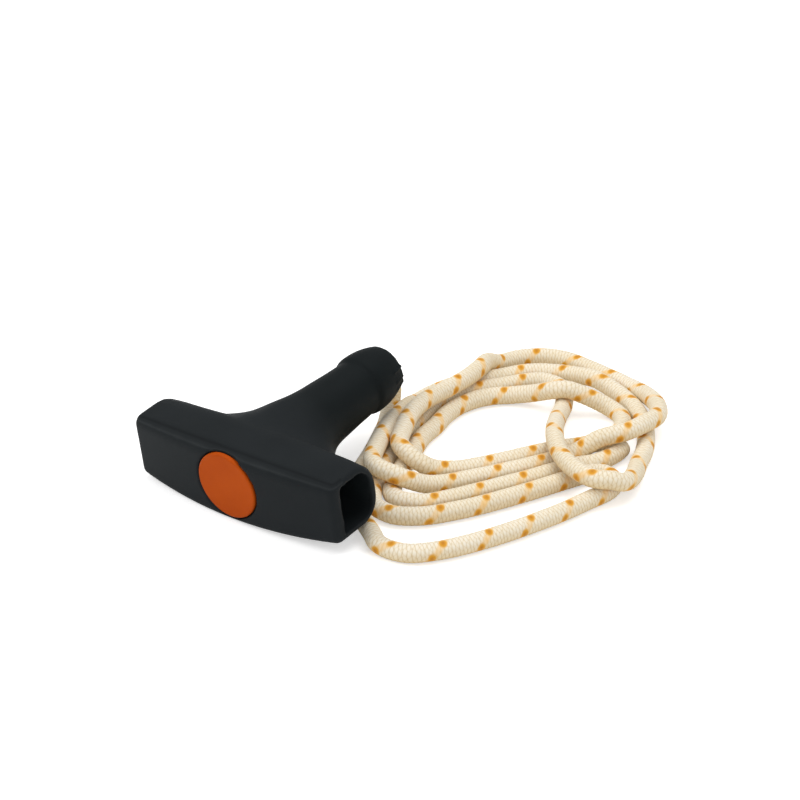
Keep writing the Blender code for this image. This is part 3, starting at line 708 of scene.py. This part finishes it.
def rope_material(name):
    """Braid read from the UV in yarns: pale yarns with fibres, painted shade in the grooves, between the ribs
    and on the undersides, one orange tracer yarn.
    """
    mat, tree, shader = new_material(name)
    u, v, _ = parts_of(tree, add(tree, "ShaderNodeUVMap", uv_map="braid").outputs["UV"])
    # Which yarn is on top, how far across it a place lies from its middle, and how far along its crown.
    p = math_node(tree, "SUBTRACT", v, u)
    q = math_node(tree, "ADD", v, u)
    i = math_node(tree, "FLOOR", p)
    j = math_node(tree, "FLOOR", q)
    crossing = math_node(tree, "ADD", i, j)
    first = math_node(tree, "FLOORED_MODULO", crossing, BRAID_REPEAT)
    first = math_node(tree, "LESS_THAN", first, OVER - 0.5)
    across_p = math_node(tree, "SUBTRACT", math_node(tree, "SUBTRACT", p, i), 0.5)
    across_q = math_node(tree, "SUBTRACT", math_node(tree, "SUBTRACT", q, j), 0.5)
    across = either(tree, first, across_p, across_q)
    run_p = math_node(tree, "FLOORED_MODULO", math_node(tree, "ADD", q, i), BRAID_REPEAT)
    run_q = math_node(tree, "FLOORED_MODULO", math_node(tree, "ADD", p, j), BRAID_REPEAT)
    run = either(tree, first, run_p, math_node(tree, "SUBTRACT", run_q, OVER))
    width = math_node(tree, "ABSOLUTE", multiply(tree, across, 2.0))
    crown = math_node(tree, "SUBTRACT", 1.0, math_node(tree, "POWER", width, 2.4))
    ends = math_node(tree, "SINE", multiply(tree, run, math.pi / OVER))
    ends = math_node(tree, "POWER", math_node(tree, "MAXIMUM", ends, 0.0), 0.35)
    height = multiply(tree, math_node(tree, "MAXIMUM", crown, 0.0), ends)
    # Each yarn is laid of fine threads that show as short ribs nearly square to the rope.
    lean = math_node(tree, "MULTIPLY_ADD", first, 2 * RIB_LEAN, -RIB_LEAN)
    rib_place = math_node(tree, "MULTIPLY_ADD", v, lean, multiply(tree, u, RIBS_PER_YARN))
    wave = math_node(tree, "COSINE", multiply(tree, rib_place, 2 * math.pi))
    rib = math_node(tree, "POWER", math_node(tree, "MULTIPLY_ADD", wave, 0.5, 0.5), 0.6)
    # The tracer is one yarn of the second set: how far a place lies beside it, and along it from a crown.
    beside = from_nearest(tree, q, TRACER_MIDDLE, YARNS)
    passing = from_nearest(tree, p, TRACER_ON_TOP, BRAID_REPEAT)

    coords = object_place(tree)
    blotch = noise(tree, coords, ROPE_BLOTCHES)
    tone = noise(tree, coords, ROPE_TONES, 2.0)
    threads = add(tree, "ShaderNodeCombineXYZ")
    tree.links.new(multiply(tree, across, FIBRES_ACROSS), threads.inputs[0])
    tree.links.new(multiply(tree, run, FIBRES_ALONG), threads.inputs[1])
    tree.links.new(crossing, threads.inputs[2])
    fibre = noise(tree, threads.outputs[0], FIBRES, 3.0, 0.6)
    pale = ramp(tree, tone, (0.35, YARN_DULL), (0.65, YARN_FRESH))
    pale = mix_colour(tree, multiply(tree, fibre, 0.30), pale, FIBRE_PALE)
    # Painted shade: the grooves between yarns and the gaps between ribs are multiplied darker.
    groove_shade = ramp(tree, height, (0.0, GROOVE_SHADE_DEEP), (0.4, GROOVE_SHADE_SIDE), (0.8, WHITE))
    pale = mix_colour(tree, 0.45, pale, groove_shade, "MULTIPLY")
    between = ramp(tree, rib, (0.0, RIB_GAP_SHADE), (0.6, WHITE))
    pale = mix_colour(tree, 0.75, pale, between, "MULTIPLY")
    # The undersides have kept more of the raw yellow than the handled tops.
    # Painted shade: where the surface faces down, the colour is multiplied towards a warm yellow.
    up = parts_of(tree, surface_normal(tree))[2]
    under = clamped(tree, math_node(tree, "MULTIPLY_ADD", up, -0.8, 0.45))
    pale = mix_colour(tree, under, pale, UNDERSIDE_SHADE_YELLOW, "MULTIPLY")
    # Dye that has bled beside the tracer.
    bleed = ramp(tree, multiply(tree, beside, 0.25), (0.10, WHITE), (0.26, BLACK))
    bleed = multiply(tree, bleed, math_node(tree, "MULTIPLY_ADD", blotch, 1.5, -0.15))
    pale = mix_colour(tree, math_node(tree, "MAXIMUM", bleed, 0.0), pale, BLED_DYE)
    # A fleck shows where the tracer passes over the other yarns; its threads spread, so its edge is soft.
    far = distance_of(tree, multiply(tree, passing, FLECK_ALONG), multiply(tree, beside, FLECK_ACROSS))
    far = math_node(tree, "MULTIPLY_ADD", math_node(tree, "SUBTRACT", blotch, 0.5), 0.55, far)
    cover = ramp(tree, far, (0.62, WHITE), (0.98, BLACK))
    tracer = ramp(tree, far, (0.10, TRACER_DEEP), (0.50, TRACER), (0.9, TRACER_EDGE))
    tree.links.new(mix_colour(tree, cover, pale, tracer), shader.inputs["Base Color"])
    rough = math_node(tree, "MULTIPLY_ADD", fibre, 0.15, ROPE_ROUGHNESS)
    tree.links.new(rough, shader.inputs["Roughness"])
    shader.inputs["Specular IOR Level"].default_value = 0.30
    shader.inputs["Sheen Weight"].default_value = 0.10
    shader.inputs["Sheen Roughness"].default_value = 0.5
    normal = bump(tree, height, 0.25, 0.00010)
    normal = bump(tree, rib, 0.50, 0.00009, normal)
    normal = bump(tree, fibre, 0.35, 0.00005, normal)
    tree.links.new(normal, shader.inputs["Normal"])
    return mat


grip.data.materials.append(black_material("black_plastic_looks"))
disc.data.materials.append(orange_material("orange_plastic_looks"))
rope_looks = rope_material("cream_rope_looks")
rope.data.materials.append(rope_looks)
knot.data.materials.append(rope_looks)

# Floor and light, in metres.
FLOOR_HALF = 3
FLOOR_DROP = 0.00002
FLOOR_GREY = 0.80
# The floor's glow is seen but lights nothing. The world is seen white and lights less.
FLOOR_GLOW = 0.52
WORLD_LIGHT = 0.52


def empty_tree(holder, output):
    """Node tree of a material or a world with nothing but its output node."""
    holder.use_nodes = True
    tree = holder.node_tree
    tree.nodes.clear()
    return tree, tree.nodes.new(output)


def pale_floor(name):
    """Floor that takes shadows, with a glow for what looks at it."""
    mat = bpy.data.materials.new(name)
    tree, out = empty_tree(mat, "ShaderNodeOutputMaterial")
    diffuse = add(tree, "ShaderNodeBsdfDiffuse")
    plug(tree, diffuse.inputs["Color"], (FLOOR_GREY,) * 3)
    glow = add(tree, "ShaderNodeEmission")
    plug(tree, glow.inputs["Color"], WHITE)
    ray = add(tree, "ShaderNodeLightPath").outputs
    looked_at = math_node(tree, "MAXIMUM", ray["Is Camera Ray"], ray["Is Glossy Ray"])
    looked_at = math_node(tree, "MAXIMUM", looked_at, ray["Is Transmission Ray"])
    tree.links.new(multiply(tree, looked_at, FLOOR_GLOW), glow.inputs["Strength"])
    both = add(tree, "ShaderNodeAddShader")
    tree.links.new(diffuse.outputs[0], both.inputs[0])
    tree.links.new(glow.outputs[0], both.inputs[1])
    tree.links.new(both.outputs[0], out.inputs["Surface"])
    return mat


def studio_world(name):
    """White behind everything, and less light from it."""
    world = bpy.data.worlds.new(name)
    tree, out = empty_tree(world, "ShaderNodeOutputWorld")
    back = add(tree, "ShaderNodeBackground")
    plug(tree, back.inputs["Color"], WHITE)
    seen = add(tree, "ShaderNodeLightPath").outputs["Is Camera Ray"]
    strength = math_node(tree, "MULTIPLY_ADD", seen, 1.0 - WORLD_LIGHT, WORLD_LIGHT)
    tree.links.new(strength, back.inputs["Strength"])
    tree.links.new(back.outputs[0], out.inputs["Surface"])
    return world


def area_light(name, location, target, size, power):
    """Square lamp turned towards a place."""
    data = bpy.data.lights.new(name, "AREA")
    data.energy = power
    data.size = size
    lamp = add_object(name, data)
    lamp.location = location
    turn_to(lamp, target)


floor_mesh = bpy.data.meshes.new("floor")
floor_corners = [(x * FLOOR_HALF, y * FLOOR_HALF, 0) for x, y in ((-1, -1), (1, -1), (1, 1), (-1, 1))]
floor_mesh.from_pydata(floor_corners, [], [(0, 1, 2, 3)])
floor = add_object("floor", floor_mesh)
floor.location.z = -FLOOR_DROP
floor.data.materials.append(pale_floor("pale_floor"))
scene.world = studio_world("studio")
area_light("key", (-0.62, -0.66, 0.80), (0, 0, 0), 0.7, 5.7)
area_light("top", (0.1, 0.25, 1.1), (0, 0.02, 0), 0.9, 6.3)
area_light("side", (0.95, -0.25, 0.45), (0, 0, 0), 0.5, 1.6)

# What rides on what.
for piece in (grip, disc, rope, knot):
    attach(piece, "root")
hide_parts("grip_body")
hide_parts("cap")
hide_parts("rope_knot")
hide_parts("rope", "rope_hank")
